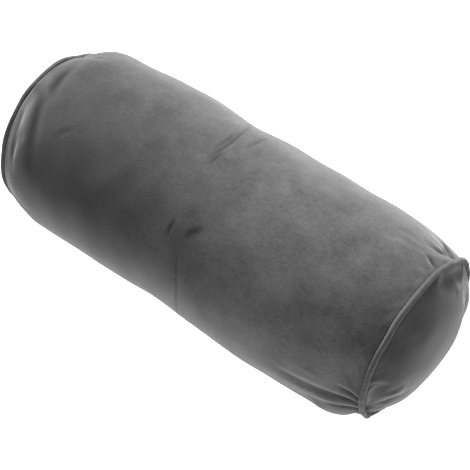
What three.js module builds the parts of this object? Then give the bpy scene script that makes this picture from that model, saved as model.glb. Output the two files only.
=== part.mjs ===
// A neck roll pillow in velour, lying on its side: one filled roll whose side panel is drawn in at both
// ends, a dished end round sewn over each end, and a piping cord in each end seam.
// Frame: +X along the roll towards the end with the fuller crown, +Z up, origin under the middle of the
// pillow, on the face that it rests on. Angles are in degrees about the roll, from +Y up towards +Z.
import * as THREE from 'three';
import { mergeVertices } from 'three/addons/utils/BufferGeometryUtils.js';

const { degToRad, euclideanModulo, radToDeg, smoothstep } = THREE.MathUtils;

// Driving dimensions, in millimetres and degrees
const ROLL_RADIUS = 75;          // the filled roll away from its ends
const AXIS_HEIGHT = 72;          // less than the radius, so the underside lies flat
const SEAM_SPACING = 339;        // from one end seam to the other, along the roll
const SEAM_RADIUS = 64;          // each end seam is drawn in from the roll's radius
const SEAM_REACH = 110;          // how far from a seam its lift and lean are still felt in the side panel
const PIPING_RADIUS = 2.5;
const PIPING_STANDS_OFF = 1.9;   // from the seam line to the middle of the piping
const PIPING_FACES = 49;         // direction of the piping from the seam line, up from the roll's axis
const SIDE_MEETS_PIPING = 200;   // place on the piping, from the same axis, where the side panel ends
const RIM_SHARE = 0.975;         // share of the seam radius where an end round turns under the piping
const CLOTH = 1.6;               // velour with its pile
const GAP = 0.3;                 // between neighbouring pieces
const DOME_GAP = 0.4;            // the same gap measured along the roll, where the dome slopes
const CROWN_POWER = 2.7;         // 2 is a plain dome, more is fuller towards its rim

// Facets
const AROUND = 80;
const ALONG_SIDE = 23;
const ACROSS_END = 4;
const PIPING_SIDES = 6;
const CROWDING = 0.35;           // share of the side's rings that crowd towards its ends

const SEAM_AT = SEAM_SPACING / 2;
const VELOUR = { color: 0x4f4f4f, roughness: 0.95, metalness: 0 };
const PIPING_VELOUR = { color: 0x5c5c5c, roughness: 0.9, metalness: 0 };

// The side panel's sections: place along the roll, radius there, and sway of the section's middle in +Y
const SIDE_SECTIONS = [
  { along: -165, radius: 69.6, sway: 0.8 },
  { along: -154, radius: 74.6, sway: 1.2 },
  { along: -138, radius: 76.0, sway: 1.6 },
  { along: -105, radius: 76.0, sway: 2.4 },
  { along: -62, radius: 76.1, sway: 2.8 },
  { along: -20, radius: 74.6, sway: 2.0 },
  { along: 20, radius: 74.8, sway: 1.4 },
  { along: 62, radius: 75.5, sway: -0.2 },
  { along: 112, radius: 75.4, sway: -0.6 },
  { along: 138, radius: 73.8, sway: 0.0 },
  { along: 154, radius: 70.4, sway: 0.4 },
  { along: 165, radius: 66.6, sway: 0.4 },
];

// The two ends: crown of the end round, lift of the seam ring, tuck of its underside, its breadth as a
// share of its height, its lean along the roll, furthest out at the angle leanAt, and how far the whole
// ring is drawn back into the roll
const ENDS = [
  { name: 'far', side: -1, crown: 15, lift: -4.0, tuck: 5, breadth: 0.95, lean: 1.0, leanAt: 300, back: 3.0 },
  { name: 'near', side: 1, crown: 21, lift: 2.5, tuck: 9, breadth: 0.95, lean: 2.5, leanAt: 70, back: 0 },
];

// Soft folds of the side panel, ridges with a positive height and troughs with a negative one. A fold runs
// along the roll at slant 0 and around it at slant 90.
const FOLDS = [
  { what: 'waist crease, back', along: -17, angle: 35, slant: 88, length: 46, width: 12, height: -2.4 },
  { what: 'waist crease, front', along: -14, angle: 208, slant: 90, length: 40, width: 18, height: -1.6 },
  { what: 'buckle by the far seam', along: -156, angle: 122, slant: 78, length: 34, width: 6, height: 2.4 },
  { what: 'trough by the buckle', along: -145, angle: 118, slant: 76, length: 40, width: 7, height: -2.6 },
  { what: 'far gather, top', along: -151, angle: 82, slant: 24, length: 16, width: 7, height: 1.6 },
  { what: 'far shoulder, hollow', along: -158, angle: 68, slant: 90, length: 16, width: 11, height: -3.0 },
  { what: 'far shoulder, full', along: -149, angle: 46, slant: 90, length: 20, width: 12, height: 1.6 },
  { what: 'near shoulder, hollow', along: 154, angle: 32, slant: 90, length: 36, width: 16, height: -0.8 },
  { what: 'near gather, back', along: 155, angle: 50, slant: -12, length: 14, width: 5, height: -2.0 },
  { what: 'near gather, top', along: 154, angle: 67, slant: 6, length: 16, width: 5, height: -2.2 },
  { what: 'near gather, upper front', along: 153, angle: 86, slant: 14, length: 18, width: 6, height: -1.8 },
  { what: 'near shoulder, sagging', along: 150, angle: 218, slant: 90, length: 50, width: 22, height: 6.2 },
  { what: 'near gather, lower front', along: 151, angle: 182, slant: -18, length: 22, width: 5, height: -2.4 },
  { what: 'near gather, front foot', along: 154, angle: 200, slant: -6, length: 18, width: 5, height: -2.6 },
  { what: 'near gather, underneath', along: 155, angle: 218, slant: 8, length: 16, width: 5, height: -2.0 },
];

const places = SIDE_SECTIONS.map((section) => section.along);
const sizes = SIDE_SECTIONS.flatMap((section) => [section.radius, section.sway]);
const sections = new THREE.CubicInterpolant(places, sizes, 2, new Float32Array(2));

// Angle from one direction to another, between -180 and 180
function turnBetween(from, to) {
  return euclideanModulo(to - from + 180, 360) - 180;
}

// How far the folds lift the side panel at a place on it
function foldLift(along, angle) {
  let lift = 0;
  for (const fold of FOLDS) {
    const slant = degToRad(fold.slant);
    const ahead = along - fold.along;
    const aside = ROLL_RADIUS * degToRad(turnBetween(fold.angle, angle));
    const down = ahead * Math.cos(slant) + aside * Math.sin(slant);
    const across = aside * Math.cos(slant) - ahead * Math.sin(slant);
    lift += fold.height * Math.exp(-((down / fold.length) ** 2) - (across / fold.width) ** 2);
  }
  return lift * smoothstep(SEAM_AT - Math.abs(along), 2, 9);
}

// Takes a point of the true round form to where the soft roll has it. Folds, sway and the flat underside
// belong to the side panel, lift, tuck, breadth and lean to the end that is nearer.
function settle(along, out, angle, isSide) {
  const end = ENDS[along < 0 ? 0 : 1];
  const felt = smoothstep(Math.abs(along), SEAM_AT - SEAM_REACH, SEAM_AT);
  const turn = degToRad(angle);
  const reach = isSide ? out + foldLift(along, angle) : out;
  const sway = isSide ? sections.evaluate(along)[1] : 0;
  const lean = end.lean * Math.cos(degToRad(turnBetween(end.leanAt, angle))) - end.back;
  const tuck = end.tuck * Math.max(0, -Math.sin(turn)) ** 2;
  const share = out / SEAM_RADIUS;
  const height = AXIS_HEIGHT + reach * Math.sin(turn) + felt * (end.lift + share * tuck);
  return new THREE.Vector3(
    along + end.side * felt * share * lean,
    reach * Math.cos(turn) * THREE.MathUtils.lerp(1, end.breadth, felt) + sway,
    Math.max(height, 0),
  );
}

function merged(geometry) {
  geometry.deleteAttribute('normal');
  geometry.deleteAttribute('uv');
  return mergeVertices(geometry, 1e-3);
}

// Turns a profile of { along, out, isSide } points about the roll's axis and settles each point
function turned(profile) {
  const points = profile.map(({ along, out }) => new THREE.Vector2(out, along));
  const geometry = new THREE.LatheGeometry(points, AROUND);
  const position = geometry.getAttribute('position');
  for (let i = 0; i < position.count; i += 1) {
    const { along, out, isSide } = profile[i % profile.length];
    const angle = radToDeg(Math.atan2(position.getX(i), position.getZ(i)));
    position.setXYZ(i, ...settle(along, out, angle, isSide));
  }
  return merged(geometry);
}

// A point of an end's dome: share runs from 0 at the middle to 1 at the seam, depth goes into the roll
function domePoint(end, share, depth = 0) {
  return {
    along: end.side * (SEAM_AT + end.crown * (1 - share ** CROWN_POWER) - depth),
    out: share * SEAM_RADIUS,
  };
}

// A point at a distance from the seam line, in a direction up from the roll's axis
function fromSeam(end, distance, direction) {
  return {
    along: end.side * (SEAM_AT + distance * Math.cos(degToRad(direction))),
    out: SEAM_RADIUS + distance * Math.sin(degToRad(direction)),
  };
}

function pipingMiddle(end) {
  return fromSeam(end, PIPING_STANDS_OFF, PIPING_FACES);
}

// The edge of the side panel, clear of the piping
function sideEdge(end) {
  const middle = pipingMiddle(end);
  const clear = PIPING_RADIUS + GAP;
  return {
    along: middle.along + end.side * clear * Math.cos(degToRad(SIDE_MEETS_PIPING)),
    out: middle.out + clear * Math.sin(degToRad(SIDE_MEETS_PIPING)),
  };
}

// The side panel's rings, closer together towards its ends
function sideRings() {
  const last = SIDE_SECTIONS.at(-1).along;
  return Array.from({ length: ALONG_SIDE }, (_, i) => {
    const even = (2 * i) / (ALONG_SIDE - 1) - 1;
    const crowded = Math.sin((even * Math.PI) / 2);
    const along = last * THREE.MathUtils.lerp(even, crowded, CROWDING);
    return { along, out: sections.evaluate(along)[0], isSide: true };
  });
}

function endShares() {
  return Array.from({ length: ACROSS_END + 1 }, (_, i) => (RIM_SHARE * i) / ACROSS_END);
}

// The filled roll from pole to pole: a crowned end, the side panel and the other crowned end
function rollProfile() {
  const [far, near] = ENDS;
  return [
    ...endShares().map((share) => domePoint(far, share, CLOTH + DOME_GAP)),
    sideEdge(far),
    ...sideRings(),
    sideEdge(near),
    ...endShares().reverse().map((share) => domePoint(near, share, CLOTH + DOME_GAP)),
  ];
}

// An end round is a dished sheet. Its profile runs towards +X, so the two ends are opposite ways about.
function endRoundProfile(end) {
  const inner = endShares().map((share) => domePoint(end, share, CLOTH));
  const outer = endShares().reverse().map((share) => domePoint(end, share));
  const sheet = [...inner, ...outer];
  return end.side > 0 ? sheet : sheet.reverse();
}

// The piping is a ring of cord about the roll's axis
function pipingGeometry(end) {
  const middle = pipingMiddle(end);
  const geometry = new THREE.TorusGeometry(middle.out, PIPING_RADIUS, PIPING_SIDES, AROUND);
  const position = geometry.getAttribute('position');
  for (let i = 0; i < position.count; i += 1) {
    const along = middle.along + position.getZ(i);
    const out = Math.hypot(position.getX(i), position.getY(i));
    const angle = radToDeg(Math.atan2(position.getY(i), position.getX(i)));
    position.setXYZ(i, ...settle(along, out, angle, false));
  }
  return merged(geometry);
}

function piece(name, geometry, finish) {
  const mesh = new THREE.Mesh(geometry, new THREE.MeshStandardMaterial(finish));
  mesh.name = name;
  return mesh;
}

const pillow = new THREE.Group();
pillow.add(piece('roll', turned(rollProfile()), VELOUR));
for (const end of ENDS) {
  pillow.add(piece(`end_round_${end.name}`, turned(endRoundProfile(end)), VELOUR));
  pillow.add(piece(`piping_${end.name}`, pipingGeometry(end), PIPING_VELOUR));
}

// Sets the origin under the middle of the whole pillow
const box = new THREE.Box3().setFromObject(pillow);
const middle = box.getCenter(new THREE.Vector3());
pillow.position.set(-middle.x, -middle.y, -box.min.z);

export default pillow;
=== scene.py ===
# %% [markdown]
# A neck roll pillow in grey velour
#
# The pillow is a tube of velour, filled with fibre and closed by a round at each end, with piping sewn
# into both end seams. A solid model of it already exists at its real size. This lesson loads that model
# as a fixed frame, sews a soft cover over it, gathers and fills the cover in a cloth simulation, presses
# the fine creases and gives the cloth a pile that catches the light.

# %% Load the frame
import math

import bmesh
import bpy
import numpy as np
from mathutils import Matrix, Vector, noise
from mathutils.bvhtree import BVHTree


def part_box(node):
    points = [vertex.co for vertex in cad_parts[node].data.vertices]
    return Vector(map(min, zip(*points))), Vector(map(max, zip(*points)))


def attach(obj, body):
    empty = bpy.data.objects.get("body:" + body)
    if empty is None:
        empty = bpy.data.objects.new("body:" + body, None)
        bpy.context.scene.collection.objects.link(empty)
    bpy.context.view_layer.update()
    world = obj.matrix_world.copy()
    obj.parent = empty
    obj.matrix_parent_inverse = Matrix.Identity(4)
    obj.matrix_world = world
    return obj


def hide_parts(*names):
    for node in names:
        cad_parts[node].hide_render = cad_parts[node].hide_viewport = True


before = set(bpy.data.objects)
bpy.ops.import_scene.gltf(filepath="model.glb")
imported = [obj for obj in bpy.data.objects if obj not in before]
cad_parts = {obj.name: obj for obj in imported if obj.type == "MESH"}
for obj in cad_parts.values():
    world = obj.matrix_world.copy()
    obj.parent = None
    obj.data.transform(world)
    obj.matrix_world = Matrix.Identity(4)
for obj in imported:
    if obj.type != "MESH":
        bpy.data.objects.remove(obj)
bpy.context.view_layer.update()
MM = 0.001

# %% [markdown]
# Places on the roll
#
# Everything on a roll is easiest to place by how far along it lies, how far out from the axis, and at
# which angle. Angles run from +Y towards +Z. Two small functions turn whole arrays of points into those
# values and back, and a third gives the angle between two directions.

# %% Angles about the roll
AXIS_HEIGHT = 72 * MM

roll_low, roll_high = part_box("roll")
axis_y = (roll_low.y + roll_high.y) / 2


def to_polar(points):
    """Places along the roll, distances from its axis and angles about it."""
    across = points[:, 1] - axis_y
    up = points[:, 2] - AXIS_HEIGHT
    return points[:, 0].copy(), np.hypot(across, up), np.arctan2(up, across)


def from_polar(along, out, angle):
    return np.column_stack([along, axis_y + out * np.cos(angle), AXIS_HEIGHT + out * np.sin(angle)])


def turn(from_angle, to_angle):
    """Angle from one direction to another, the short way round."""
    return (to_angle - from_angle + math.pi) % (2 * math.pi) - math.pi


print("the axis lies at y, z, mm:", round(axis_y / MM, 1), round(AXIS_HEIGHT / MM, 1))

# %% [markdown]
# Where the seams run
#
# Each end seam is a ring that isn't quite round: it is lifted, leans and is tucked in below. The frame's
# piping has that ring already, so the seam is read from it rather than typed in again. The vertices near
# each angle about the roll are averaged to the piping's middle there. A few harmonics of those averages
# then give a smooth ring: its place along the roll and its distance from the axis, for any angle.

# %% Read the two seam rings from the frame
SIGNS = {"far": -1, "near": 1}
RING_STEPS = 72
HARMONICS = 9


def read_ring(node):
    corners = np.array([v.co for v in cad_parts[node].data.vertices])
    along, out, angle = to_polar(corners)
    steps = np.arange(RING_STEPS) * 2 * math.pi / RING_STEPS
    near = [np.abs(turn(step, angle)) < 2 * math.pi / RING_STEPS for step in steps]
    means = [[values[n].mean() for n in near] for values in (along, out)]
    return [np.fft.rfft(mean)[:HARMONICS] / RING_STEPS for mean in means]


RINGS = {end: read_ring(f"piping_{end}") for end in SIGNS}
print("rings lie on average at, mm:", {end: round(terms[0][0].real / MM, 1) for end, terms in RINGS.items()})

# %% [markdown]
# A seam over gathers also wanders: it turns a corner at the top of the near end, is drawn in at that
# end's foot and back, and bows in and out at the far end. Those few places are rows in a table, in
# degrees and millimetres. The piping and the seam under it follow the same ring, so they wander together.

# %% Let the seams wander
PIPING_RADIUS = 2.0 * MM
PIPING_STANDS_OFF = 1.2 * MM
PIPING_FACES = math.radians(49)
FRAME_PIPING_RADIUS = 2.5 * MM
WANDER = [
    dict(end="near", angle=67, spread=5, along=0.6, out=0.9),
    dict(end="near", angle=46, spread=6, along=0.2, out=0.7),
    dict(end="near", angle=228, spread=12, along=-0.7, out=-1.2),
    dict(end="near", angle=18, spread=22, along=-0.6, out=-0.9),
    dict(end="far", angle=62, spread=14, along=-1.0, out=-1.8),
    dict(end="far", angle=130, spread=40, along=0.6, out=1.0),
]


def by_angle(rows, end, angle, column):
    """Adds up the rows of one end, each strongest at its own angle and fading to both sides."""
    total = np.zeros_like(angle)
    for row in rows:
        if row["end"] == end:
            offset = turn(math.radians(row["angle"]), angle) / math.radians(row["spread"])
            total = total + row[column] * np.exp(-(offset**2))
    return total


def ring(end, angle, outwards):
    """The frame's piping ring with its wander, moved outwards along the slant that the piping faces."""
    waves = np.exp(1j * np.multiply.outer(angle, np.arange(HARMONICS)))
    along, out = (2 * (waves @ terms).real - terms[0].real for terms in RINGS[end])
    wander_along = by_angle(WANDER, end, angle, "along") * MM
    wander_out = by_angle(WANDER, end, angle, "out") * MM
    along = along + SIGNS[end] * (wander_along + outwards * math.cos(PIPING_FACES))
    return along, out + wander_out + outwards * math.sin(PIPING_FACES)


def piping_middle(end, angle):
    """A slimmer cord than the frame's, with its outer edge in the same place."""
    return ring(end, angle, FRAME_PIPING_RADIUS - PIPING_RADIUS)


def seam(end, angle):
    """The seam line lies under the piping, which stands off it."""
    return ring(end, angle, FRAME_PIPING_RADIUS - PIPING_RADIUS - PIPING_STANDS_OFF)


for end in SIGNS:
    print(end, "seam at the top, mm:", [round(float(v) / MM, 1) for v in seam(end, math.pi / 2)])

# %% [markdown]
# The cover as one sewn bag
#
# On the real pillow the tube and the two rounds are sewn into one bag before it is filled, so the bag is
# made as one mesh too. It could be a remeshed copy of the frame, but then the seams would be lost among
# random faces. A line spun about the roll's axis gives the tube clean rings instead. They crowd together
# near the seams, where the cloth gathers, and at the waist, where it creases.

# %% Space the rings of the tube
SIDE_RINGS = 96
FINE_PLACES = 2000
SEAM_AT = 170 * MM
WAIST_AT = 0 * MM
CROWDS = [
    dict(at=-SEAM_AT, spread=22 * MM, extra=1.6),
    dict(at=SEAM_AT, spread=22 * MM, extra=1.6),
    dict(at=WAIST_AT, spread=20 * MM, extra=1.1),
]


def ring_places():
    """Ring places along the roll, closer together where a crowd asks for more of them."""
    fine = np.linspace(-SEAM_AT, SEAM_AT, FINE_PLACES)
    density = 1 + sum(row["extra"] * np.exp(-(((fine - row["at"]) / row["spread"]) ** 2)) for row in CROWDS)
    reached = np.concatenate([[0], np.cumsum((density[1:] + density[:-1]) / 2)])
    return np.interp(np.linspace(0, reached[-1], SIDE_RINGS + 1), reached, fine)


rings = ring_places()
gaps = np.diff(rings)
print("rings from", round(gaps.min() / MM, 2), "to", round(gaps.max() / MM, 2), "mm apart")

# %% [markdown]
# Each end round could be spun too, but a spun disc has a pole, where hundreds of slivers meet and cloth
# can't move well. A square grid pressed into a disc has none, and with a quarter of the tube's steps
# along each of its sides it meets the tube's rim vertex for vertex.

# %% Press a square into a disc
def on_disc(x, y):
    """Presses the square from -1 to 1 into a disc, with even angles along its edge."""
    if abs(x) > abs(y):
        out, angle = x, math.pi / 4 * y / x
    elif y:
        out, angle = y, math.pi / 2 - math.pi / 4 * x / y
    else:
        out, angle = 0, 0
    return out * math.cos(angle), out * math.sin(angle)


print("a corner of the square goes to", [round(v, 3) for v in on_disc(1, 1)])

# %% [markdown]
# The tube and the two discs are welded along their rims, as the maker sews them. Each face keeps a number
# for the part of the cover that it belongs to, so that the bag can be parted again at the end.

# %% Spin the tube and sew on the rounds
AROUND = 192
WELD = 0.1 * MM
# The grid's places are rounded, so that its middle and its diagonals are exact.
GRID_DIGITS = 6
SEAM_OUT = 64 * MM
SIDE = 0
ROUNDS = {"near": 1, "far": 2}


def spin_round(bm, geom, steps):
    """Spins a line or a circle once about the roll's axis."""
    axis = (0, axis_y, AXIS_HEIGHT)
    bmesh.ops.spin(bm, geom=geom, cent=axis, axis=(1, 0, 0), angle=2 * math.pi, steps=steps, use_merge=True)


def put_in_order(bm):
    """Orders the parts by place. Welding leaves them in an order that changes from run to run."""
    def places(part):
        return sorted(tuple(round(c / WELD) for c in vert.co) for vert in getattr(part, "verts", [part]))

    for parts in (bm.verts, bm.edges, bm.faces):
        rank = {part: number for number, part in enumerate(sorted(parts, key=places))}
        parts.sort(key=rank.get)


def weld(bm, distance):
    """Closes a spun or sewn mesh and turns all its faces outwards."""
    bmesh.ops.remove_doubles(bm, verts=bm.verts, dist=distance)
    put_in_order(bm)
    bmesh.ops.recalc_face_normals(bm, faces=bm.faces)
    for face in bm.faces:
        face.smooth = True


def sew_bag():
    bm = bmesh.new()
    line = [bm.verts.new((place, axis_y + SEAM_OUT, AXIS_HEIGHT)) for place in rings]
    edges = [bm.edges.new(pair) for pair in zip(line, line[1:])]
    spin_round(bm, line + edges, AROUND)
    for end, region in ROUNDS.items():
        disc = bmesh.ops.create_grid(bm, x_segments=AROUND // 4, y_segments=AROUND // 4, size=1)["verts"]
        for vert in disc:
            across, up = on_disc(round(vert.co.x, GRID_DIGITS), round(vert.co.y, GRID_DIGITS))
            vert.co = (SIGNS[end] * SEAM_AT, axis_y + SEAM_OUT * across, AXIS_HEIGHT + SEAM_OUT * up)
        for face in {face for vert in disc for face in vert.link_faces}:
            face.material_index = region
    weld(bm, WELD)
    mesh = bpy.data.meshes.new("bag")
    bm.to_mesh(mesh)
    bm.free()
    return mesh


def regions_of(mesh):
    """Which of the tube and the rounds each vertex belongs to, and which vertices are on a seam."""
    member = np.zeros((len(mesh.vertices), 3), bool)
    for face in mesh.polygons:
        member[list(face.vertices), face.material_index] = True
    return member, member.sum(axis=1) > 1


bag = sew_bag()
member, on_seam = regions_of(bag)
print("bag:", len(bag.polygons), "faces,", len(bag.vertices), "vertices,", int(on_seam.sum()), "on seams")

# %% [markdown]
# Drawing the bag over the frame
#
# Every vertex of the tube has a place along the roll and an angle. A ray from the axis at that place and
# angle meets the frame's skin, and the vertex goes there. For the rounds the rays run along the roll
# instead. A Shrinkwrap modifier could do this too, but it takes each vertex to the nearest skin, which
# bunches the rings near the seams. The last few millimetres before a seam curve down to the seam ring.

# %% Read and move a mesh
def skin_of(node):
    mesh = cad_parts[node].data
    return BVHTree.FromPolygons([v.co for v in mesh.vertices], [p.vertices for p in mesh.polygons])


def points_of(mesh):
    points = np.empty(len(mesh.vertices) * 3)
    mesh.vertices.foreach_get("co", points)
    return points.reshape(-1, 3)


def move_to(mesh, points):
    mesh.vertices.foreach_set("co", points.ravel())
    mesh.update()


print("frame faces:", {node: len(piece.data.polygons) for node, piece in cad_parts.items()})

# %% Find the skin by rays
SHOULDER = 4 * MM
SHOULDER_POWER = 0.5
RIM_SHARE = 0.93


def draw_side(along, angle):
    """Rays from the axis outwards, eased down to the seam at both ends."""
    seams = {end: seam(end, angle) for end in SIGNS}
    share = (along / SEAM_AT + 1) / 2
    place = seams["far"][0] * (1 - share) + seams["near"][0] * share
    near = share > 0.5
    seam_along, seam_out = (np.where(near, a, b) for a, b in zip(seams["near"], seams["far"]))
    to_seam = np.abs(place - seam_along)
    seen_from = np.where(to_seam > SHOULDER, place, seam_along - np.where(near, 1, -1) * SHOULDER)
    skin = skin_of("roll")
    starts = from_polar(seen_from, np.zeros_like(angle), angle)
    rays = from_polar(seen_from, np.ones_like(angle), angle) - starts
    skin_out = np.array([skin.ray_cast(Vector(start), Vector(ray))[3] for start, ray in zip(starts, rays)])
    rise = np.minimum(1, to_seam / SHOULDER) ** SHOULDER_POWER
    return from_polar(place, seam_out + (skin_out - seam_out) * rise, angle)


def draw_round(end, out, angle):
    """Rays along the roll from outside, eased to the seam at the rim."""
    seam_along, seam_out = seam(end, angle)
    share = out / SEAM_OUT
    outside = np.full_like(out, SIGNS[end] * 2 * SEAM_AT)
    starts = from_polar(outside, np.minimum(share, RIM_SHARE) * seam_out, angle)
    skin = skin_of(f"end_round_{end}")
    inwards = Vector((-SIGNS[end], 0, 0))
    skin_at = np.array([skin.ray_cast(Vector(start), inwards)[0].x for start in starts])
    fade = np.maximum(0, (share - RIM_SHARE) / (1 - RIM_SHARE))
    return from_polar(skin_at * (1 - fade) + seam_along * fade, share * seam_out, angle)


print("top of the waist, mm:", np.round(draw_side(np.zeros(1), np.full(1, math.pi / 2)) / MM, 1))

# %% [markdown]
# The frame has flat facets, and so has a bag that is drawn straight onto them. It is smoothed afterwards,
# with the seams held, so that they stay where the piping will lie.

# %% Draw the bag over the frame
SMOOTHINGS = 24
SMOOTHING_FACTOR = 0.5


def smooth(mesh, held):
    bm = bmesh.new()
    bm.from_mesh(mesh)
    free = [vert for vert in bm.verts if not held[vert.index]]
    axes = dict(use_axis_x=True, use_axis_y=True, use_axis_z=True)
    for _ in range(SMOOTHINGS):
        bmesh.ops.smooth_vert(bm, verts=free, factor=SMOOTHING_FACTOR, **axes)
    bm.to_mesh(mesh)
    bm.free()


def draw_over_frame(mesh):
    drawn = points_of(mesh)
    along, out, angle = to_polar(drawn)
    for end, region in ROUNDS.items():
        own = member[:, region]
        drawn[own] = draw_round(end, out[own], angle[own])
    own = member[:, SIDE]
    drawn[own] = draw_side(along[own], angle[own])
    move_to(mesh, drawn)
    smooth(mesh, on_seam)


draw_over_frame(bag)
print("drawn, mm:", np.round(np.ptp(points_of(bag), axis=0) / MM, 1))

# %% [markdown]
# Cloth that lies in folds
#
# A gathered seam, a buckle beside it and a dent are all the same thing: more cloth than the surface
# needs, standing up in a ridge or dipping in a trough. They could be left to chance in the simulation,
# but this pillow's folds have their own places. So each is a row in a table, in millimetres and degrees,
# and one function lifts the cloth along all of them. A fold runs along the roll at slant 0 and around it
# at slant 90. These rows only start the folds, and the simulation finishes them.

# %% Start the folds of the side
FOLD_RADIUS_MM = 72
FOLDS = [
    dict(what="buckle by the far seam", along=-153.5, angle=130, slant=71, length=20, width=4.6, height=0.4),
    dict(what="trough by the buckle", along=-146, angle=129, slant=70, length=24, width=4.2, height=-1.8),
    dict(what="far knuckle", along=-158, angle=104, slant=60, length=8, width=4.5, height=0.9),
    dict(what="trough by the knuckle", along=-150, angle=101, slant=84, length=16, width=4.0, height=-2.0),
    dict(what="pocket at the far seam", along=-161, angle=134, slant=80, length=9, width=3.4, height=-0.8),
    dict(what="streak at the far seam", along=-157, angle=154, slant=90, length=14, width=2.8, height=-1.2),
    dict(what="far shoulder, full", along=-143, angle=52, slant=0, length=18, width=20, height=1.5),
    dict(what="near foot, full", along=140, angle=206, slant=0, length=22, width=14, height=1.4),
    dict(what="near top gather 1", along=158, angle=53, slant=42, length=8, width=3.0, height=-1.6),
    dict(what="near top gather 2", along=161, angle=59, slant=0, length=6, width=3.0, height=-1.6),
    dict(what="near top gather 3", along=159, angle=65, slant=-30, length=7, width=2.8, height=-1.4),
    dict(what="near top gather 4", along=161, angle=78, slant=20, length=7, width=2.8, height=-1.2),
    dict(what="near foot gather 1", along=158, angle=178, slant=35, length=9, width=2.8, height=-1.6),
    dict(what="near foot gather 2", along=156, angle=185.5, slant=14, length=11, width=2.8, height=-1.6),
    dict(what="near foot gather 3", along=156, angle=195, slant=4, length=11, width=3.0, height=-1.6),
]


def down_and_across(ahead, aside, slant):
    """Distances down a slanting line and across it."""
    slant = math.radians(slant)
    down = ahead * math.cos(slant) + aside * math.sin(slant)
    across = aside * math.cos(slant) - ahead * math.sin(slant)
    return down, across


def on_side(along, angle, row):
    """Distances from a row's line in millimetres on the roll's surface."""
    aside = FOLD_RADIUS_MM * turn(math.radians(row["angle"]), angle)
    return down_and_across(along / MM - row["along"], aside, row["slant"])


def hump(down, across, row):
    """One at the middle of a row's line, fading down it and across it."""
    return np.exp(-((down / row["length"]) ** 2) - (across / row["width"]) ** 2)


def above_floor(points):
    points[:, 2] = np.maximum(points[:, 2], 0)
    return points


along, out, angle = to_polar(points_of(bag))
lift = sum(row["height"] * MM * hump(*on_side(along, angle, row), row) for row in FOLDS)
lift = np.where(member[:, SIDE] & ~on_seam, lift, 0)
move_to(bag, above_floor(from_polar(along, out + lift, angle)))
print(len(FOLDS), "folds from", round(lift.min() / MM, 2), "to", round(lift.max() / MM, 2), "mm")

# %% [markdown]
# The near round has folds of its own: a ridge along its foot, where the tube's edge was caught in the
# seam, and two soft creases below its highest corner. It is also fuller at its foot and back. Their places
# are measured across the round and up from the roll's axis.

# %% Start the folds of the near round
ROUND_FOLDS = [
    dict(what="ridge along the foot", across=-47, up=-4, slant=3, length=13, width=3.6, height=2.4),
    dict(what="trough under the ridge", across=-44, up=-13, slant=0, length=15, width=4.5, height=-2.2),
    dict(what="crease below the corner", across=24, up=46, slant=-70, length=9, width=3.0, height=1.6),
    dict(what="crease at the back", across=34, up=40, slant=-75, length=10, width=2.6, height=1.2),
    dict(what="full foot", across=-22, up=-40, slant=-25, length=22, width=11, height=2.6),
    dict(what="full back", across=50, up=4, slant=90, length=26, width=9, height=2.6),
]


def on_round(points, row):
    """Distances from a row's line in millimetres across a round."""
    ahead = (points[:, 1] - axis_y) / MM - row["across"]
    aside = (points[:, 2] - AXIS_HEIGHT) / MM - row["up"]
    return down_and_across(ahead, aside, row["slant"])


points = points_of(bag)
ridges = sum(row["height"] * MM * hump(*on_round(points, row), row) for row in ROUND_FOLDS)
points[:, 0] += np.where(member[:, ROUNDS["near"]] & ~on_seam, ridges, 0)
print(len(ROUND_FOLDS), "folds on the round, up to", round(ridges.max() / MM, 2), "mm")

# %% [markdown]
# Fibre filling is never quite even, so the whole bag also gets low lumps, from a noise a few centimetres
# wide. The pile adds a little height all over, which makes up for what the smoothing drew in.

# %% Lump the filling and raise the pile
LUMP_SIZE = 24 * MM
LUMP_HEIGHT = 0.7 * MM
PILE_HEIGHT = 0.8 * MM

lumps = PILE_HEIGHT + LUMP_HEIGHT * np.array([noise.noise(Vector(point) / LUMP_SIZE) for point in points])
along, out, angle = to_polar(points)
lumpy = from_polar(along, out + np.where(member[:, SIDE] & ~on_seam, lumps, 0), angle)
for end, region in ROUNDS.items():
    lumpy[:, 0] += np.where(member[:, region] & ~on_seam, SIGNS[end] * lumps, 0)
move_to(bag, above_floor(lumpy))
print("raised by", round(lumps.min() / MM, 2), "to", round(lumps.max() / MM, 2), "mm")

# %% [markdown]
# Gathering and filling the bag
#
# The maker cuts the tube a little fuller than its seams, draws the rims in as the piping is sewn, and
# stuffs the bag. Gathers could be modelled as a row of ridges, but they would look combed, so the
# simulation does what the maker does. The mesh starts at the size it was cut: wider at the rim where the
# seam gathers it, and longer where a buckle stands beside the seam.

# %% Cut the cloth fuller than its seams
GATHER_REACH = 8 * MM
RIM_POWER = 6
FULLNESS = [
    dict(end="near", angle=62, spread=11, wider=0.022, longer=0),
    dict(end="near", angle=186, spread=13, wider=0.032, longer=0),
    dict(end="near", angle=-25, spread=20, wider=0.035, longer=0),
    dict(end="far", angle=128, spread=24, wider=0.012, longer=0.5),
    dict(end="far", angle=60, spread=14, wider=0.020, longer=0),
    dict(end="far", angle=205, spread=14, wider=0.015, longer=0),
    dict(end="far", angle=-20, spread=22, wider=0.035, longer=0),
]


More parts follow.
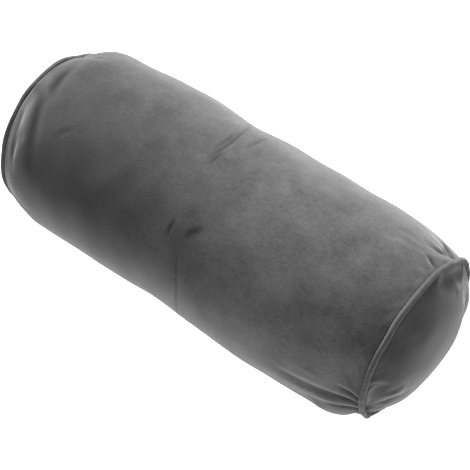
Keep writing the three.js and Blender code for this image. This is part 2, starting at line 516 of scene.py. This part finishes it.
def cut_size(sewn):
    along, out, angle = to_polar(sewn)
    wider = np.zeros_like(along)
    longer = np.zeros_like(along)
    for row in FULLNESS:
        sign = SIGNS[row["end"]]
        inside = np.maximum(0, sign * (seam(row["end"], angle)[0] - along))
        by_seam = np.where(member[:, SIDE] & (sign * along > 0), np.exp(-((inside / GATHER_REACH) ** 2)), 0)
        by_rim = np.where(member[:, ROUNDS[row["end"]]], (out / SEAM_OUT) ** RIM_POWER, 0)
        offset = turn(math.radians(row["angle"]), angle) / math.radians(row["spread"])
        amount = np.maximum(by_seam, by_rim) * np.exp(-(offset**2))
        wider += row["wider"] * amount
        longer += sign * row["longer"] * MM * amount
    return from_polar(along + longer, out * (1 + wider), angle)


sewn = points_of(bag)
cut = cut_size(sewn)
print("cut fuller by up to", round(np.linalg.norm(cut - sewn, axis=1).max() / MM, 1), "mm")

# %% [markdown]
# A shape key then draws the pinned rims in to the sewn size over the first frames, while a pressure inside
# pushes the cloth out, so it buckles into real gathers. The flat strip on which the roll lies is pinned
# too.

# %% Gather and fill by cloth simulation
FRAMES = 20
SEWN_BY = 10
REST_HEIGHT = 0.6 * MM
VELOUR_CLOTH = dict(
    quality=5,
    mass=0.1,
    tension_stiffness=15,
    compression_stiffness=15,
    shear_stiffness=5,
    bending_stiffness=0.05,
    use_pressure=True,
    uniform_pressure_force=8,
)


def gather_and_fill(piece, held):
    move_to(piece.data, cut)
    piece.shape_key_add(name="cut")
    drawn_in = piece.shape_key_add(name="sewn")
    drawn_in.data.foreach_set("co", sewn.ravel())
    for step, value in ((1, 0), (SEWN_BY, 1)):
        drawn_in.value = value
        drawn_in.keyframe_insert("value", frame=step)
    pins = piece.vertex_groups.new(name="held")
    pins.add(np.flatnonzero(held).tolist(), 1, "REPLACE")
    cloth = piece.modifiers.new("Cloth", "CLOTH")
    for setting, value in VELOUR_CLOTH.items():
        setattr(cloth.settings, setting, value)
    cloth.settings.vertex_group_mass = pins.name
    cloth.settings.effector_weights.gravity = 0
    cloth.collision_settings.use_collision = False
    cloth.point_cache.frame_end = FRAMES
    for step in range(1, FRAMES + 1):
        bpy.context.scene.frame_set(step)
    filled = points_of(piece.evaluated_get(bpy.context.evaluated_depsgraph_get()).data)
    piece.modifiers.remove(cloth)
    piece.shape_key_clear()
    bpy.context.scene.frame_set(1)
    for action in list(bpy.data.actions):
        bpy.data.actions.remove(action)
    return filled


cover = bpy.data.objects.new("cover", bag)
bpy.context.scene.collection.objects.link(cover)
held = on_seam | (sewn[:, 2] < REST_HEIGHT)
filled = gather_and_fill(cover, held)
print("filled, mm:", np.round(np.ptp(filled, axis=0) / MM, 1))

# %% [markdown]
# Filling also swells and shrinks the whole form a little. A smaller start could allow for that, but never
# evenly. So the slow part of the move is taken out again: the pillow keeps its size, and the gathers stay.

# %% Keep the gathers and drop the swelling
EVENINGS = 60
MOST_MOVE = 5 * MM


def evened(values):
    """Values at the bag's vertices, averaged with their neighbours over and over."""
    ends = np.array([edge.vertices for edge in bag.edges]).T
    neighbours = np.bincount(ends.ravel())[:, None]
    for _ in range(EVENINGS):
        total = np.zeros_like(values)
        np.add.at(total, ends[0], values[ends[1]])
        np.add.at(total, ends[1], values[ends[0]])
        values = (values + total / neighbours) / 2
    return values


move = filled - sewn
move = np.where(held[:, None], 0, move - evened(move))
far = np.linalg.norm(move, axis=1, keepdims=True)
settled = sewn + move * np.minimum(1, MOST_MOVE / np.maximum(far, MOST_MOVE))
move_to(bag, above_floor(settled))
print("moved by up to", round(far.max() / MM, 2), "mm, mean", round(far.mean() / MM, 2), "mm")

# %% [markdown]
# Fine creases
#
# A roll that was once folded in half keeps a thin crease, which runs around its waist in broken stretches.
# Beside the gathers the cloth is pressed in short sharp lines, and three short marks lie on its side. A
# simulation at this size can't hold lines one or two millimetres wide, so the bag is subdivided first and
# the creases are pressed into the finer mesh.

# %% Subdivide the bag
def subdivided(piece):
    """A finer copy in which the sewn edges stay sharp, so that they still reach the piping."""
    sharp = piece.data.attributes.new("crease_edge", "FLOAT", "EDGE")
    sewn_edges = [float(on_seam[list(edge.vertices)].all()) for edge in piece.data.edges]
    sharp.data.foreach_set("value", sewn_edges)
    finer = piece.modifiers.new("Finer", "SUBSURF")
    finer.levels = finer.render_levels = 1
    result = bpy.data.meshes.new_from_object(piece.evaluated_get(bpy.context.evaluated_depsgraph_get()))
    bpy.data.objects.remove(piece)
    return result


fine_bag = subdivided(cover)
member, on_seam = regions_of(fine_bag)
print("fine bag:", len(fine_bag.polygons), "faces")

# %% [markdown]
# A crease is a narrow valley between low shoulders, because the cloth that it takes in has to go
# somewhere. A waist crease follows a few listed points of angle and place along the roll, and fades
# out at both of its ends.

# %% Lay out the waist creases
SHOULDER_SHARE = 0.25
SHOULDER_SPREAD = 2.2
WAIST_CREASES = [
    dict(
        path=[(38, -24), (50, -20), (60, -13), (71, -9.3), (80, -7.4), (91, -8), (104, -10)],
        width=1.6, depth=0.9,
    ),
    dict(path=[(58, 4.5), (63, 4.4), (70, 4.6), (78, 3.8)], width=1.4, depth=0.5),
    dict(path=[(70, -13), (80, -11.5), (92, -12.5)], width=1.3, depth=0.4),
    dict(path=[(88, -4.5), (96, -6), (102, -6.5)], width=1.2, depth=0.35),
    dict(
        path=[(147, 7), (156, 9.2), (164, 11.7), (174, 13.4), (187, 12.4), (205, 10), (228, 9)],
        width=1.3, depth=0.55,
    ),
]


def valley(across):
    """A narrow valley of depth one between low shoulders."""
    return SHOULDER_SHARE * np.exp(-((across / SHOULDER_SPREAD) ** 2)) - np.exp(-(across**2))


def at_waist(along, angle, row):
    """How strong a waist crease is at an angle, and distances across it as shares of its width."""
    degrees = np.degrees(angle) % 360
    turns, places = zip(*row["path"])
    middle, half = (turns[-1] + turns[0]) / 2, (turns[-1] - turns[0]) / 2
    fade = np.clip(1 - ((degrees - middle) / half) ** 2, 0, 1)
    return fade, (along / MM - np.interp(degrees, turns, places)) / row["width"]


def waist_lift(along, angle):
    lift = np.zeros_like(along)
    for row in WAIST_CREASES:
        fade, across = at_waist(along, angle, row)
        lift += row["depth"] * fade * valley(across)
    return lift * MM


along, out, angle = to_polar(points_of(fine_bag))
waist = waist_lift(along, angle)
print("waist creases from", round(waist.min() / MM, 2), "to", round(waist.max() / MM, 2), "mm")

# %% Press all the creases
PRESSED = [
    dict(what="near top gather 1", along=158.5, angle=53, slant=42, length=7, width=1.6, depth=1.1),
    dict(what="near top gather 2", along=161.5, angle=59, slant=0, length=5, width=1.7, depth=1.4),
    dict(what="near top gather 3", along=159.5, angle=65, slant=-30, length=6, width=1.5, depth=1.1),
    dict(what="near top gather 4", along=161.5, angle=78, slant=20, length=6, width=1.5, depth=1.0),
    dict(what="near foot gather 1", along=159, angle=178.5, slant=35, length=8, width=1.6, depth=1.2),
    dict(what="near foot gather 2", along=157, angle=185.7, slant=14, length=9, width=1.6, depth=1.2),
    dict(what="near foot gather 3", along=157, angle=195, slant=4, length=9, width=1.7, depth=1.2),
    dict(what="pocket at the far seam", along=-161, angle=135, slant=80, length=9, width=1.8, depth=0.3),
    dict(what="far streak 1", along=-157, angle=155, slant=88, length=13, width=1.6, depth=0.5),
    dict(what="far streak 2", along=-160, angle=148, slant=86, length=11, width=1.5, depth=0.4),
    dict(what="mark by the far end", along=-118.2, angle=127.5, slant=-46, length=6, width=1.8, depth=0.6),
    dict(what="mark at the waist 1", along=-4.8, angle=141, slant=93, length=5, width=1.8, depth=0.5),
    dict(what="mark at the waist 2", along=13.4, angle=137, slant=-45, length=6, width=2.6, depth=0.6),
]


def pressed_lift(along, angle):
    lift = np.zeros_like(along)
    for row in PRESSED:
        down, across = on_side(along, angle, row)
        lift += row["depth"] * np.exp(-((down / row["length"]) ** 2)) * valley(across / row["width"])
    return lift * MM


pressed = waist + pressed_lift(along, angle)
pressed = np.where(member[:, SIDE] & ~on_seam, pressed, 0)
move_to(fine_bag, from_polar(along, out + pressed, angle))
print("creases from", round(pressed.min() / MM, 2), "to", round(pressed.max() / MM, 2), "mm")

# %% [markdown]
# The roll and the two rounds
#
# The bag is now parted into the pieces the maker cut. They could have been separate meshes from the
# start, but parted only now, their edges still meet along the seams. The filled roll is the whole closed
# bag, with its ends sunk a little, because the rounds cover them. Each round keeps its own faces and gets
# the thickness of velour by a Solidify modifier, inwards, so that its outside stays where it is.

# %% Part the bag
VELOUR_THICKNESS = 1.6 * MM
END_SUNK = 3.2 * MM


def add_piece(name, bm):
    """Puts a mesh in the scene as a piece, with one material for all its faces."""
    for face in bm.faces:
        face.material_index = 0
    mesh = bpy.data.meshes.new(name)
    bm.to_mesh(mesh)
    bm.free()
    piece = bpy.data.objects.new(name, mesh)
    bpy.context.scene.collection.objects.link(piece)
    return piece


def part_roll():
    bm = bmesh.new()
    bm.from_mesh(fine_bag)
    for vert in bm.verts:
        if not member[vert.index, SIDE]:
            vert.co.x -= math.copysign(END_SUNK, vert.co.x)
    return add_piece("velour_roll", bm)


def part_round(end):
    bm = bmesh.new()
    bm.from_mesh(fine_bag)
    others = [face for face in bm.faces if face.material_index != ROUNDS[end]]
    bmesh.ops.delete(bm, geom=others, context="FACES")
    piece = add_piece(f"velour_round_{end}", bm)
    wall = piece.modifiers.new("Velour", "SOLIDIFY")
    wall.thickness = VELOUR_THICKNESS
    wall.offset = -1
    return piece


roll = part_roll()
rounds = {end: part_round(end) for end in SIGNS}
areas = {end: sum(face.area for face in piece.data.polygons) for end, piece in rounds.items()}
print("round areas, square metres:", {end: round(area, 5) for end, area in areas.items()})

# %% [markdown]
# Piping
#
# Piping is a cord in a folded strip of the same velour, cut on the bias and caught in the seam. A bevelled
# curve could make it. A circle spun about the axis makes an even ring just as well, with the same angles
# as the seam that it is then laid along. Sewn by hand over gathers, it is never quite straight, and it
# swells where its two ends are joined.

# %% Spin the piping and lay it along the seams
PIPING_SIDES = 14
PIPING_STEPS = 384
PIPING_WELD = 0.01 * MM
SEWING_WAVES = [
    dict(waves=11, shift=1, height=0.16),
    dict(waves=19, shift=2, height=0.12),
    dict(waves=43, shift=0, height=0.06),
]
PHASE_ALONG = 1
PHASE_OUT = 4
JOINS = [
    dict(end="near", angle=197, spread=3.2, swell=0.28),
    dict(end="near", angle=204, spread=1.4, swell=-0.25),
    dict(end="near", angle=212, spread=3.4, swell=0.30),
    dict(end="far", angle=215, spread=3.2, swell=0.25),
]


def hand_sewn(angle, phase):
    """Small uneven waves, a fraction of a millimetre high."""
    waves = [row["height"] * np.sin(row["waves"] * angle + row["shift"] * phase) for row in SEWING_WAVES]
    return MM * sum(waves)


def make_piping(end):
    bm = bmesh.new()
    circle = bmesh.ops.create_circle(bm, segments=PIPING_SIDES, radius=PIPING_RADIUS)["verts"]
    bmesh.ops.translate(bm, verts=circle, vec=(0, axis_y + SEAM_OUT, AXIS_HEIGHT))
    edges = list(dict.fromkeys(edge for vert in circle for edge in vert.link_edges))
    spin_round(bm, circle + edges, PIPING_STEPS)
    weld(bm, PIPING_WELD)
    piece = add_piece(f"velour_piping_{end}", bm)
    beside, out, angle = to_polar(points_of(piece.data))
    swell = 1 + by_angle(JOINS, end, angle, "swell")
    along_seam, out_seam = piping_middle(end, angle)
    along = along_seam + hand_sewn(angle, PHASE_ALONG) + beside * swell
    out = out_seam + hand_sewn(angle, PHASE_OUT) + (out - SEAM_OUT) * swell
    move_to(piece.data, above_floor(from_polar(along, out, angle)))
    return piece


pipings = {end: make_piping(end) for end in SIGNS}
print("piping faces:", {end: len(piece.data.polygons) for end, piece in pipings.items()})

# %% [markdown]
# Grey velour
#
# Velour is a knitted cloth with a dense short pile. It looks dark where the pile is seen end on and pale
# where it is seen from the side, so its edges glow and every patch where the pile lies another way shows as
# a soft cloud. Strands of hair could stand for the pile, but from this far only its glow and its shades
# show.
# The glow is the shader's sheen, and the clouds are a slow noise. Light and shade are also painted into the
# colour, a row in a table for each area: painted shade over the far half, the lower far side and the rounds,
# painted light on the lower near side, on the lit ridges by the far seam and on the round's foot, and the
# marks a thumb has left. Troughs, creases and seams get painted shade as well. The painted light and shade
# are kept in an attribute of the mesh.

# %% Paint light and shade into the side's colour
# Painted light and shade: darker over the far half, the lower far side and under the far seam, lighter on
# the lower near side and on the lit buckle and knuckle by the far seam. The marks are dark, with painted
# shade in their small dents, and the patch at the waist is just darker.
SIDE_PAINTED_LIGHT_AND_SHADE = [
    dict(what="far half, painted shade", along=-150, angle=125, slant=0, length=165, width=85, shade=-0.66),
    dict(what="lower far side", along=-105, angle=163, slant=0, length=85, width=40, shade=-0.36),
    dict(what="lower near side, painted light", along=115, angle=165, slant=0, length=75, width=45, shade=0.32),
    dict(what="under the far seam", along=-163, angle=135, slant=90, length=60, width=9, shade=-0.3),
    dict(what="buckle by the far seam", along=-153.5, angle=130, slant=71, length=16, width=4.0, shade=0.45),
    dict(what="far knuckle", along=-157, angle=105, slant=60, length=6, width=4.0, shade=0.5),
    dict(what="mark by the far end", along=-118.2, angle=127.5, slant=-46, length=6, width=2.0, shade=-0.45),
    dict(what="mark at the waist 1", along=-4.8, angle=141, slant=93, length=5, width=1.5, shade=-0.5),
    dict(what="mark at the waist 2", along=13.4, angle=137, slant=-45, length=6, width=2.8, shade=-0.5),
    dict(what="darker patch at the waist", along=15, angle=149, slant=70, length=24, width=16, shade=-0.25),
]
# Painted shade: troughs, creases and the cloth beside each seam are darkened in the colour.
PAINTED_SHADE_PER_DEPTH = 0.2
PAINTED_SHADE_IN_CREASE = -0.5
PAINTED_SHADE_BY_SEAM = -0.4
PAINTED_SHADE_BY_SEAM_REACH = 4 * MM
DARKEST = -0.85


def side_shade(along, angle):
    """Painted light and shade from the table, and painted shade in troughs, creases and along the seams."""
    shade = sum(row["shade"] * hump(*on_side(along, angle, row), row) for row in SIDE_PAINTED_LIGHT_AND_SHADE)
    for row in FOLDS:
        shade += PAINTED_SHADE_PER_DEPTH * min(0, row["height"]) * hump(*on_side(along, angle, row), row)
    for row in PRESSED:
        shade += PAINTED_SHADE_IN_CREASE * hump(*on_side(along, angle, row), row)
    for row in WAIST_CREASES:
        fade, across = at_waist(along, angle, row)
        shade += PAINTED_SHADE_IN_CREASE * fade * np.exp(-(across**2))
    for end in SIGNS:
        shade += PAINTED_SHADE_BY_SEAM * np.exp(-(((seam(end, angle)[0] - along) / PAINTED_SHADE_BY_SEAM_REACH) ** 2))
    return shade


def store_painted_light_and_shade(piece, shade):
    layer = piece.data.attributes.new("painted_light_and_shade", "FLOAT", "POINT")
    layer.data.foreach_set("value", np.maximum(shade, DARKEST))


along, out, angle = to_polar(points_of(roll.data))
shade = side_shade(along, angle)
store_painted_light_and_shade(roll, shade)
print("roll shaded from", round(shade.min(), 2), "to", round(shade.max(), 2))

# %% Shade the rounds
# Painted light and shade on the rounds: the whole round darker, its foot lighter and the cloth beside the
# near seam darker. The mark is a darker spot.
ROUND_PAINTED_LIGHT_AND_SHADE = [
    dict(what="whole round, painted shade", across=0, up=0, slant=0, length=200, width=200, shade=-0.42),
    dict(what="foot of the round", across=10, up=-55, slant=0, length=60, width=26, shade=0.35),
    dict(what="mark on the round", across=-18, up=37, slant=20, length=8, width=4, shade=-0.3),
    dict(what="beside the near seam", across=-42, up=33, slant=-50, length=26, width=10, shade=-0.3),
]


def round_shade(end, points):
    along, out, angle = to_polar(points)
    shade = sum(row["shade"] * hump(*on_round(points, row), row) for row in ROUND_PAINTED_LIGHT_AND_SHADE)
    # Painted shade beside the seam, as on the side.
    return shade + PAINTED_SHADE_BY_SEAM * np.exp(-(((seam(end, angle)[1] - out) / PAINTED_SHADE_BY_SEAM_REACH) ** 2))


for end, piece in rounds.items():
    shade = round_shade(end, points_of(piece.data))
    store_painted_light_and_shade(piece, shade)
    print(end, "round shaded from", round(shade.min(), 2), "to", round(shade.max(), 2))

# %% [markdown]
# The material mixes a dark and a light grey by those clouds and by the pile's own fine grain, and the
# painted light and shade then make the mix lighter or darker. A painted picture could hold all that, but
# noise in real sizes needs no picture and stays sharp from close by.

# %% Colours and nodes
def linear(hex_colour):
    """A colour written as sRGB hex, in the linear values that shaders use."""
    channels = [int(hex_colour[i:i + 2], 16) / 255 for i in (1, 3, 5)]
    return [c / 12.92 if c <= 0.04045 else ((c + 0.055) / 1.055) ** 2.4 for c in channels] + [1]


def add_node(tree, kind, inputs, **settings):
    """Adds a node. An input that is another node's output is linked, and any other value is set."""
    node = tree.nodes.new(kind)
    for name, value in settings.items():
        setattr(node, name, value)
    for socket, value in inputs.items():
        if isinstance(value, bpy.types.NodeSocket):
            tree.links.new(value, node.inputs[socket])
        else:
            node.inputs[socket].default_value = value
    return node


print("middle grey in linear values:", round(linear("#808080")[0], 3))

# %% Velour material
CLOUD_SIZE = 22 * MM
# The tufts of real pile are a few tenths of a millimetre wide, so their grain is drawn coarser to show.
PILE_SIZE = 1.2 * MM
PILE_LEANS = 0.4
PILE_DEPTH = 0.5 * MM
GRAIN = 0.34
NOISE_MIDDLE = 0.5
CLOUD_RANGE = 0.48


def velour(name, dark, light, sheen):
    material = bpy.data.materials.new(name)
    material.use_nodes = True
    tree = material.node_tree
    tree.nodes.clear()
    place = add_node(tree, "ShaderNodeTexCoord", {}).outputs["Object"]
    clouds = add_node(tree, "ShaderNodeTexNoise", {
        "Vector": place,
        "Scale": 1 / CLOUD_SIZE,
        "Detail": 4,
        "Roughness": 0.65,
    })
    cloudy = add_node(tree, "ShaderNodeMapRange", {
        "Value": clouds.outputs["Fac"],
        "From Min": NOISE_MIDDLE - CLOUD_RANGE,
        "From Max": NOISE_MIDDLE + CLOUD_RANGE,
    })
    drawn_out = add_node(
        tree, "ShaderNodeVectorMath", {0: place, 1: (PILE_LEANS, 1, 1)}, operation="MULTIPLY"
    )
    pile = add_node(tree, "ShaderNodeTexNoise", {
        "Vector": drawn_out.outputs["Vector"],
        "Scale": 1 / PILE_SIZE,
        "Detail": 2,
        "Roughness": 0.6,
    })
    grain = add_node(
        tree, "ShaderNodeMapRange", {"Value": pile.outputs["Fac"], "To Min": -GRAIN, "To Max": GRAIN}
    )
    nap = add_node(
        tree, "ShaderNodeMath", {0: cloudy.outputs["Result"], 1: grain.outputs["Result"]}, operation="ADD"
    )
    even = add_node(tree, "ShaderNodeMix", {
        "Factor": nap.outputs[0],
        "A": linear(dark),
        "B": linear(light),
    }, data_type="RGBA")
    # The attribute holds the painted light and shade, which scale the colour.
    painted_light_and_shade = add_node(tree, "ShaderNodeAttribute", {}, attribute_name="painted_light_and_shade")
    share = add_node(tree, "ShaderNodeMath", {0: 1, 1: painted_light_and_shade.outputs["Fac"]}, operation="ADD")
    colour = add_node(tree, "ShaderNodeVectorMath", {
        0: even.outputs["Result"],
        "Scale": share.outputs[0],
    }, operation="SCALE")
    bump = add_node(
        tree, "ShaderNodeBump", {"Height": pile.outputs["Fac"], "Strength": 0.25, "Distance": PILE_DEPTH}
    )
    shader = add_node(tree, "ShaderNodeBsdfPrincipled", {
        "Base Color": colour.outputs["Vector"],
        "Normal": bump.outputs["Normal"],
        "Roughness": 0.95,
        "Specular IOR Level": 0.03,
        "Sheen Weight": sheen,
        "Sheen Roughness": 0.5,
        "Sheen Tint": linear("#e0e0e0"),
    })
    add_node(tree, "ShaderNodeOutputMaterial", {"Surface": shader.outputs["BSDF"]})
    return material


# Knitted velour: a cut pile on a dark ground gives the eye no gloss, soft clouds and a pale glow at edges.
grey_velour = velour("grey knitted velour", dark="#1e1e1e", light="#515151", sheen=0.58)
# Bias-cut velour: stretched over the cord its pile is thinner, so it looks more even and glows less.
bias_velour = velour("bias-cut grey velour", dark="#262626", light="#545454", sheen=0.3)
for piece in (roll, *rounds.values()):
    piece.data.materials.append(grey_velour)
for piece in pipings.values():
    piece.data.materials.append(bias_velour)
print("materials:", grey_velour.name, "and", bias_velour.name)

# %% [markdown]
# Camera
#
# The camera looks down on the roll with its near end at the lower right. It could be placed by eye, but a
# view that is worked out is easier to correct: its place follows from the angle of view and from where the
# roll's middle lies in a square picture.

# %% Place the camera
IMAGE = 470
FOCAL_PIXELS = 1450
SENSOR = 36
VIEW_ROUND = math.radians(39)
VIEW_UP = math.radians(49)
VIEW_FROM = 1074 * MM
ROLL_AT = (228, 226)
AIM = Vector((-1 * MM, 0, AXIS_HEIGHT))

right = Vector((math.cos(VIEW_ROUND), math.sin(VIEW_ROUND), 0))
back = Vector((math.sin(VIEW_ROUND), -math.cos(VIEW_ROUND), 0)) * math.cos(VIEW_UP)
back.z = math.sin(VIEW_UP)
up = back.cross(right)
aside, below = ((pixel - IMAGE / 2) / FOCAL_PIXELS * VIEW_FROM for pixel in ROLL_AT)
eye = AIM + back * VIEW_FROM - right * aside + up * below

lens = bpy.data.cameras.new("camera")
lens.sensor_width = SENSOR
lens.lens = FOCAL_PIXELS / IMAGE * SENSOR
camera = bpy.data.objects.new("camera", lens)
camera.matrix_world = Matrix.Translation(eye) @ Matrix((right, up, back)).transposed().to_4x4()
bpy.context.scene.collection.objects.link(camera)
bpy.context.scene.camera = camera
print("lens, mm:", round(lens.lens, 1))

# %% [markdown]
# Floor and light
#
# A product like this is often laid on a white table that is lit from below, so that its shadow all but
# goes. A plain floor with a glow of its own gives the same. A large lamp behind and above the roll
# makes the pile glow along the top, and a weak one in front keeps the near side from going black.

# %% Lay the floor
FLOOR_HALF = 6
FLOOR_GLOW = 1.5

bm = bmesh.new()
bmesh.ops.create_grid(bm, x_segments=1, y_segments=1, size=FLOOR_HALF)
floor = add_piece("floor", bm)
# Opal acrylic lit from below: it gives the eye an even white with no grain and hardly a shadow.
acrylic = bpy.data.materials.new("backlit white acrylic")
acrylic.use_nodes = True
glow = acrylic.node_tree.nodes["Principled BSDF"].inputs
glow["Base Color"].default_value = linear("#808080")
glow["Roughness"].default_value = 0.9
glow["Emission Color"].default_value = linear("#ffffff")
glow["Emission Strength"].default_value = FLOOR_GLOW
floor.data.materials.append(acrylic)
print("floor:", floor.name)

# %% Set the lights
SOFTBOXES = [
    dict(name="back softbox", place=(-0.8, 1.0, 1.6), size=1.2, power=172),
    dict(name="low front softbox", place=(0.5, -1.2, 0.1), size=0.7, power=8),
]
ROOM_LIGHT = 0.2


def softbox(name, place, size, power):
    lamp = bpy.data.lights.new(name, "AREA")
    lamp.shape = "DISK"
    lamp.size = size
    lamp.energy = power
    holder = bpy.data.objects.new(name, lamp)
    turned = (AIM - Vector(place)).to_track_quat("-Z", "Y").to_matrix().to_4x4()
    holder.matrix_world = Matrix.Translation(place) @ turned
    bpy.context.scene.collection.objects.link(holder)


for row in SOFTBOXES:
    softbox(**row)
world = bpy.data.worlds.new("studio")
world.use_nodes = True
room = world.node_tree.nodes["Background"].inputs
room["Color"].default_value = linear("#ffffff")
room["Strength"].default_value = ROOM_LIGHT
bpy.context.scene.world = world
bpy.context.scene.view_settings.view_transform = "Standard"
print("lights:", [row["name"] for row in SOFTBOXES])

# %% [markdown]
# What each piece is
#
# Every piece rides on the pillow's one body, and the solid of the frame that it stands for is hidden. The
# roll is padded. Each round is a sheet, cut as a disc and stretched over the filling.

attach(roll, "root")
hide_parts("roll")
for end in SIGNS:
    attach(rounds[end], "root")
    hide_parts(f"end_round_{end}")
    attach(pipings[end], "root")
    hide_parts(f"piping_{end}")
print("pieces declared:", 1 + len(rounds) + len(pipings))
